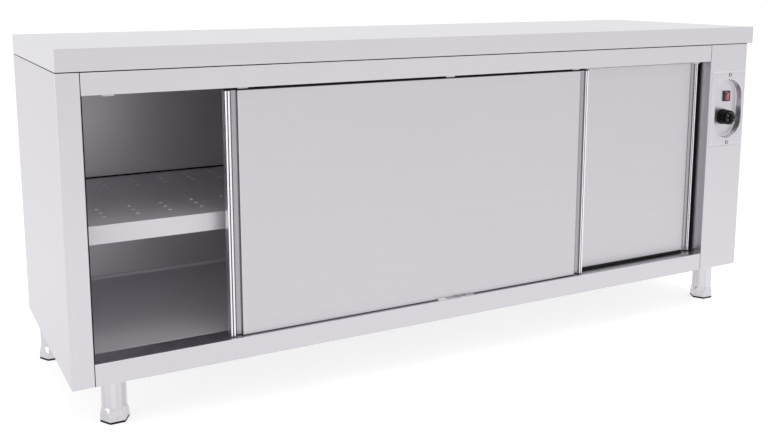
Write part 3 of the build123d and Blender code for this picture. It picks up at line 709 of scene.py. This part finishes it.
def screws():
    """Pan heads on the control plate and on the rear cover, with washers under those on the plate."""
    plate = [((909.0, -305.0, z), (0, -1, 0)) for z in (509.0, 711.0)]
    cover = [((x, 301.2, z), (0, 1, 0)) for x in (845.0, 967.0) for z in (270.0, 476.0, 682.0)]
    points = [tuple(c * MM for c in spot) for spot, _ in plate + cover]
    mesh = screw_pattern().run("pan_heads", points, "bright_screws", [way for _, way in plate + cover])
    piece("pan_heads", mesh, [], nodes=["pan_head_screws"])
    bm = bmesh.new()
    for (x, y, z), _ in plate:
        ring = turned([(radius * MM, height * MM) for radius, height in WASHER], 32)
        facing_front(ring, Vector((x * MM, 0.0, z * MM)), y * MM)
        part = bpy.data.meshes.new("washer")
        ring.to_mesh(part)
        ring.free()
        bm.from_mesh(part)
        bpy.data.meshes.remove(part)
    piece("screw_washers", to_mesh("screw_washers", bm), ["screw_black"])


# ---------------------------------------------------------------- doors
LIP = 11.0
CREASE = (4.2, 6.7)
GRIP_WIDTH = 17.5
GRIP_DEPTH = 9.0
EASE = 2.2
SLOT_HALF = 4.5
REAR_DOOR_FRONT = -0.262
DOOR_FINISHES = ["door_steel", "lip_steel", "grip_steel", "black_rubber", "crease_steel"]


def corner(x, y, radius, start, sweep, steps=4):
    """Points of a small arc, in millimetres, with its centre at (x, y)."""
    return [
        (
            x + radius * math.cos(math.radians(start + sweep * i / steps)),
            y + radius * math.sin(math.radians(start + sweep * i / steps)),
        )
        for i in range(steps + 1)
    ]


def door_section(depth):
    """Half of a door's section, from the middle of its left side to the flat front, in millimetres.

    A round bead runs along the edge, then a crease, then the lip outside the grip channel.
    """
    half = [(0.0, depth / 2), (0.0, 3.2)]
    half += [*corner(2.2, 2.8, 2.2, 180, 90, 6), *corner(2.4, 2.6, 2.0, 270, 90)]
    half += [(CREASE[0] + 0.5, 3.4), (CREASE[1] - 0.5, 3.4), (CREASE[1], 2.2)]
    half += [*corner(CREASE[1] + 1.4, 2.0, 1.4, 180, 80), (LIP - 1.9, 0.05)]
    half += corner(LIP - 1.5, 1.5, 1.5, 270, 90)
    middle = LIP + GRIP_WIDTH / 2
    for i in range(1, 20):
        across = -math.cos(math.pi * i / 20)
        rise = 1.5 if across < 0 else EASE
        sink = (GRIP_DEPTH - rise) * (1 - abs(across) ** 3) ** 0.7
        half.append((middle + GRIP_WIDTH / 2 * across, rise + sink))
    far = LIP + GRIP_WIDTH
    half += [*corner(far + EASE, EASE, EASE, 180, 90), (far + EASE + 0.9, 0.0)]
    return half


def door_skin(door):
    """A tray with a grip channel by each upright edge, a slot in its underside and a black band on top as
    painted shade. Its crease and grip channel take darker steel as painted shade, and its lip lighter steel
    as a painted highlight.
    """
    low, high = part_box(f"{door}_skin")
    width, depth = (high.x - low.x) / MM, (high.y - low.y) / MM
    left = door_section(depth)
    front = left + [(width - x, y) for x, y in reversed(left)]
    outline = [(0.0, depth), *front, (width, depth)]
    bm = bmesh.new()
    rows = []
    # painted shade: a black band on top of each door, 3 mm deep on the front door and 0.4 mm on the rear
    drop, band = (1.3 * MM, 3.0 * MM) if door == "front_door" else (0.0, 0.4 * MM)
    foot, cap, rim = low.z - drop, high.z - band, 0.4 * MM
    for z in (foot, foot + rim, cap - rim, cap, high.z):
        rows.append([bm.verts.new((low.x + x * MM, low.y + y * MM, z)) for x, y in outline])
    for row, above in zip(rows, rows[1:]):
        for i in range(len(outline) - 1):
            face = bm.faces.new((row[i], row[i + 1], above[i + 1], above[i]))
            middle = (outline[i][0] + outline[i + 1][0]) / 2
            inside = min(middle, width - middle)
            # painted shade in the crease, the grip channel and the black top band, painted highlight on the
            # lip
            if above is rows[-1]:
                finish = "black_rubber"
            elif CREASE[0] < inside < CREASE[1] - 0.2:
                finish = "crease_steel"
            elif inside < LIP - 0.5:
                finish = "lip_steel"
            elif inside < LIP + GRIP_WIDTH + 0.5:
                finish = "grip_steel"
            else:
                finish = "door_steel"
            face.material_index = DOOR_FINISHES.index(finish)
    bm.faces.new(rows[-1]).material_index = DOOR_FINISHES.index("black_rubber")
    reach = LIP + GRIP_WIDTH + 3
    slot = {}
    for key, x, y in (
        ("left", reach, depth / 2),
        ("left_front", reach, depth / 2 - SLOT_HALF),
        ("right_front", width - reach, depth / 2 - SLOT_HALF),
        ("right", width - reach, depth / 2),
        ("right_back", width - reach, depth / 2 + SLOT_HALF),
        ("left_back", reach, depth / 2 + SLOT_HALF),
    ):
        slot[key] = bm.verts.new((low.x + x * MM, low.y + y * MM, foot))
    bottom = rows[0]
    bm.faces.new([*bottom[1:-1], slot["right"], slot["right_front"], slot["left_front"], slot["left"]])
    inner = [slot[key] for key in ("left", "left_back", "right_back", "right")]
    bm.faces.new([*bottom[:2], *inner, *bottom[-2:]])
    mesh = to_mesh(f"{door}_tray", bm, sharp=50.0)
    tray = piece(f"{door}_tray", mesh, DOOR_FINISHES, door, [f"{door}_skin"])
    solidify(tray, 1.0 * MM)


def rear_door_shade_strip():
    """A black strip along the foot of the rear door's face, painted shade for the gap below the door, clear
    of the guide plate.
    """
    low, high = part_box("rear_door_skin")
    reach = (LIP + GRIP_WIDTH + 4) * MM
    below = (low.x + reach, low.y - 1.2 * MM, low.z - 1.2 * MM)
    above = (high.x - reach, low.y + 4 * MM, low.z + 5.0 * MM)
    # painted shade: the strip is black
    mesh = block_mesh("rear_door_shade_strip", [(below, above)])
    sweep = piece("rear_door_shade_strip", mesh, ["black_rubber"], "rear_door")
    round_folds(sweep, 0.5)


def doors():
    rear_door_shade_strip()
    for door in ("front_door", "rear_door"):
        door_skin(door)
        folded(f"{door}_hangers", ["track_steel"], body=door, bend=1.0)


# ---------------------------------------------------------------- controls
PLATE_CENTRE = Vector((0.909, 0.0, 0.610))
PLATE_HALF = (67 * MM, 112 * MM)
POCKET_HALF = 54 * MM
POCKET_ARM = 32.5 * MM
LOOP_POINTS = 160


def on_rectangle(i, inset):
    """Point i of a loop on the plate's outline, with points exactly in its corners."""
    half_x, half_z = PLATE_HALF[0] - inset, PLATE_HALF[1] - inset
    quarter = LOOP_POINTS // 4
    corner = round(math.atan2(PLATE_HALF[1], PLATE_HALF[0]) / (2 * math.pi) * LOOP_POINTS)
    nearest = {corner: (1, 1), 2 * quarter - corner: (-1, 1), 2 * quarter + corner: (-1, -1)}
    nearest[4 * quarter - corner] = (1, -1)
    if i in nearest:
        sx, sz = nearest[i]
        return sx * half_x, sz * half_z
    angle = 2 * math.pi * i / LOOP_POINTS
    c, s = math.cos(angle), math.sin(angle)
    reach = min(half_x / abs(c) if abs(c) > 1e-9 else 9.0, half_z / abs(s) if abs(s) > 1e-9 else 9.0)
    return reach * c, reach * s


def on_stadium(i, inset):
    """Point i of a loop on the pocket's outline, inset towards its middle."""
    angle = 2 * math.pi * i / LOOP_POINTS
    c, s = math.cos(angle), math.sin(angle)
    half = POCKET_HALF - inset
    reach = half / abs(c) if abs(c) > 1e-9 else 9.0
    if reach * abs(s) > POCKET_ARM:
        arm = POCKET_ARM * abs(s)
        reach = arm + math.sqrt(arm * arm - POCKET_ARM**2 + half * half)
    return reach * c, reach * s


def control_plate():
    """The raised plate and its pressed pocket, in one skin."""
    rectangle = [(0, -300.0), (0.2, -300.4), (6.5, -304.7), (7.2, -305.0), (8.2, -305.0)]
    stadium = [
        (-2.6, -305.0),
        (-1.5, -304.8),
        (-0.6, -304.1),
        (0.0, -302.8),
        (0.0, -286.6),
        (0.5, -284.9),
        (1.6, -283.6),
        (3.4, -283.0),
    ]
    loops = []
    for outline, profile in ((on_rectangle, rectangle), (on_stadium, stadium)):
        for inset, y in profile:
            flat = [outline(i, inset * MM) for i in range(LOOP_POINTS)]
            loops.append([PLATE_CENTRE + Vector((x, y * MM, z)) for x, z in flat])
    mesh = to_mesh("control_plate", lofted(loops, cap=True), sharp=40.0)
    for polygon in mesh.polygons:
        if polygon.normal.y > 0 and polygon.area > 0.001:
            mesh.flip_normals()
            break
    plate = piece("pocket_plate", mesh, ["panel_steel"], nodes=["control_plate"])
    solidify(plate, 1.0 * MM)


KNOB_CENTRE = Vector((0.911, 0.0, 0.584))
KNOB_BACK = -284.5 * MM


def facing_front(bm, centre, y):
    """Turns a shape made about +Z to face -Y, with its origin at the given place."""
    bm.transform(Matrix.Translation(Vector((centre.x, y, centre.z))) @ Matrix.Rotation(math.pi / 2, 4, "X"))
    return bm


def knob():
    """A fluted black knob with a raised grip, ticks and numbers on its face."""
    depth = 30.0

    def flutes(radius, height, angle):
        if radius < 19 * MM or height < 4 * MM or height > 26 * MM:
            return 0.0
        return -0.5 * MM * (0.5 + 0.5 * math.cos(24 * angle)) ** 2

    profile = [(0.4, 0), (22.4, 0), (23, 0.6), (23, 3.2), (22.4, 4.0), (22.2, 5.0), (21.6, 15), (21.2, 24.5)]
    profile += [(20.6, 27.2), (19.6, 28.6), (18.6, 29.1), (17.0, depth - 0.6), (0.4, depth - 0.6)]
    bm = turned([(r * MM, h * MM) for r, h in profile], 192, flutes)
    facing_front(bm, KNOB_CENTRE, KNOB_BACK)
    body = to_mesh("knob", bm, sharp=60.0)
    piece("knob", body, ["knob_black"], "knob", ["thermostat_knob"])

    grip = bmesh.new()
    bmesh.ops.create_cube(grip, size=1.0)
    bmesh.ops.scale(grip, vec=(8 * MM, 25 * MM, 6 * MM), verts=grip.verts)
    for vert in grip.verts:
        if vert.co.z > 0:
            vert.co.x *= 0.72
            vert.co.y *= 0.94
    bmesh.ops.bevel(grip, geom=grip.edges[:], offset=1.2 * MM, segments=4, profile=0.5, affect="EDGES")
    bmesh.ops.translate(grip, vec=(0, 0, 29.4 * MM), verts=grip.verts)
    facing_front(grip, KNOB_CENTRE, KNOB_BACK)
    piece("knob_grip", to_mesh("knob_grip", grip, sharp=60.0), ["knob_black"], "knob")

    spindle = bmesh.new()
    bmesh.ops.create_cone(
        spindle, cap_ends=True, segments=24, radius1=3 * MM, radius2=3 * MM, depth=18 * MM
    )
    facing_front(spindle, KNOB_CENTRE, -276 * MM)
    piece("knob_spindle", to_mesh("knob_spindle", spindle), ["bright_screws"], "knob")

    face = depth - 0.6
    sweep = [math.radians(-120 + 300 * i / 20) for i in range(21)]
    ticks = tick_pattern().run("dial_ticks", [(angle, 0, 0) for angle in sweep], "mark_white")
    place = Matrix.Translation(Vector((KNOB_CENTRE.x, KNOB_BACK, KNOB_CENTRE.z)))
    place = place @ Matrix.Rotation(math.pi / 2, 4, "X") @ Matrix.Translation((0, 0, face * MM))
    ticks.transform(place @ Matrix.Rotation(math.pi / 6, 4, "Z"))
    piece("knob_ticks", ticks, [], "knob")
    numbers = bmesh.new()
    for i, text in enumerate(("30", "45", "60", "75", "90")):
        angle = math.radians(210 - 60 * i)
        curve = bpy.data.curves.new("number", "FONT")
        curve.body, curve.size, curve.align_x, curve.align_y = text, 4.6 * MM, "CENTER", "CENTER"
        curve.extrude = 0.06 * MM
        label = bpy.data.objects.new("number", curve)
        flat = bpy.data.meshes.new_from_object(label)
        spot = Matrix.Translation((12.4 * MM * math.cos(angle), 12.4 * MM * math.sin(angle), 0.0))
        flat.transform(place @ spot @ Matrix.Rotation(angle - math.pi / 2, 4, "Z"))
        numbers.from_mesh(flat)
        bpy.data.objects.remove(label)
        bpy.data.meshes.remove(flat)
    bmesh.ops.remove_doubles(numbers, verts=numbers.verts, dist=1e-6)
    piece("knob_numbers", to_mesh("knob_numbers", numbers), ["mark_white"], "knob")


def switch():
    """The rocker's dished lens and its black frame."""
    folded("switch_body", ["black_plastic"], bend=0.9, rim=0.25)
    pivot = Vector((0.921, -0.281, 0.645))
    front = [(-8.0 + 2.0 * (1 - (z / 11.0) ** 2), z) for z in [-11 + 22 * i / 12 for i in range(13)]]
    outline = front + [(-1.5, 11.3), (5, 5), (5, -5), (-1.5, -11.3)]
    loops = []
    sides = (-9.2 * MM, 9.2 * MM)
    for x in sides:
        loops.append([Vector((x, y * MM, z * MM)) for y, z in outline])
    bm = lofted(loops)
    for x in sides:
        bm.faces.new([v for v in bm.verts if abs(v.co.x - x) < 1e-9])
    bm.transform(Matrix.Translation(pivot) @ Matrix.Rotation(math.radians(8), 4, "X"))
    mesh = to_mesh("rocker", bm, sharp=20.0)
    rocker = piece("rocker_lens", mesh, ["red_lens"], "rocker", ["switch_rocker"])
    bevel = rocker.modifiers.new("edges", "BEVEL")
    bevel.limit_method = "ANGLE"
    bevel.angle_limit = math.radians(35)
    bevel.width = 0.7 * MM
    bevel.segments = 3


# ---------------------------------------------------------------- the nodes that keep their own shape
def dress_nodes():
    slots = {part["node"]: part["material_slot"] for part in frame["record"]["subparts"]}
    for name, node in frame["nodes"].items():
        slot = slots[name]
        key = slot if slot in finishes else "casing_steel"
        node.data.materials.clear()
        node.data.materials.append(finishes[key].material)


# ---------------------------------------------------------------- studio
def stage_material(name, build):
    """A material of the studio, whose surface is what build makes in its tree."""
    material = bpy.data.materials.new(name)
    material.use_nodes = True
    tree = Tree(material.node_tree)
    material.node_tree.nodes.remove(material.node_tree.nodes["Principled BSDF"])
    surface = build(tree)
    tree.plug(material.node_tree.nodes["Material Output"].inputs["Surface"], surface)
    return material


def seen(tree):
    """1 for a ray that shows the studio: straight to the camera, or by way of metal or glass."""
    camera_ray, glossy_ray, transmission_ray = (
        tree.add("ShaderNodeLightPath", out=f"Is {kind} Ray") for kind in ("Camera", "Glossy", "Transmission")
    )
    return (camera_ray + glossy_ray + transmission_ray).at_most(1.0)


def floor():
    def white(tree):
        matt = tree.add("ShaderNodeBsdfDiffuse", None, {"Color": rgb(0.56, 0.56, 0.56)})
        glow = tree.add("ShaderNodeEmission", None, {"Strength": seen(tree) * 0.67})
        return tree.add("ShaderNodeAddShader", None, {0: matt, 1: glow})

    mesh = bpy.data.meshes.new("floor")
    steps, radius = 64, 60
    angles = [2 * math.pi * i / steps for i in range(steps)]
    ring = [(radius * math.cos(a), radius * math.sin(a), 0) for a in angles]
    mesh.from_pydata(ring, [], [tuple(range(steps))])
    mesh.materials.append(stage_material("floor_white", white))
    obj = bpy.data.objects.new("floor", mesh)
    scene.collection.objects.link(obj)


def lamp(name, place, target, size, power):
    """A soft lamp that the camera doesn't see."""
    data = bpy.data.lights.new(name, "AREA")
    data.shape = "RECTANGLE"
    data.size, data.size_y = size
    data.energy = power
    obj = bpy.data.objects.new(name, data)
    obj.location = place
    obj.rotation_euler = (Vector(target) - Vector(place)).to_track_quat("-Z", "Y").to_euler()
    obj.visible_camera = False
    scene.collection.objects.link(obj)


def studio():
    world = bpy.data.worlds.new("studio")
    scene.world = world
    world.use_nodes = True
    tree = Tree(world.node_tree)
    shows = seen(tree)
    strength = shows * 1.0 + (1.0 - shows) * 0.72
    tree.plug(world.node_tree.nodes["Background"].inputs["Color"], rgb(1.0, 1.0, 1.0))
    tree.plug(world.node_tree.nodes["Background"].inputs["Strength"], strength)
    floor()
    lamp("overhead", (0.6, -0.9, 3.2), (0.3, 0.0, 0.6), (5.0, 2.0), 30.0)
    lamp("left_strip", (-3.2, -0.75, 0.6), (-1.0, -0.4, 0.5), (1.4, 1.4), 12.0)


def camera():
    data = bpy.data.cameras.new("camera")
    data.sensor_width = 36.0
    data.lens = 44.696
    data.shift_y = -0.11
    data.clip_end = 200.0
    obj = bpy.data.objects.new("camera", data)
    obj.location = (-1.3225, -2.2908, 0.9834)
    obj.rotation_euler = (math.radians(90 - 9.37), 0.0, math.radians(-28.321))
    scene.collection.objects.link(obj)
    scene.camera = obj


camera()
studio()
dress_nodes()
worktop()
casing()
jamb_rubbers_and_shade()
seam_shade_strips()
shelf_lips()
rear_edges()
access_cover()
screws()
doors()
control_plate()
knob()
switch()
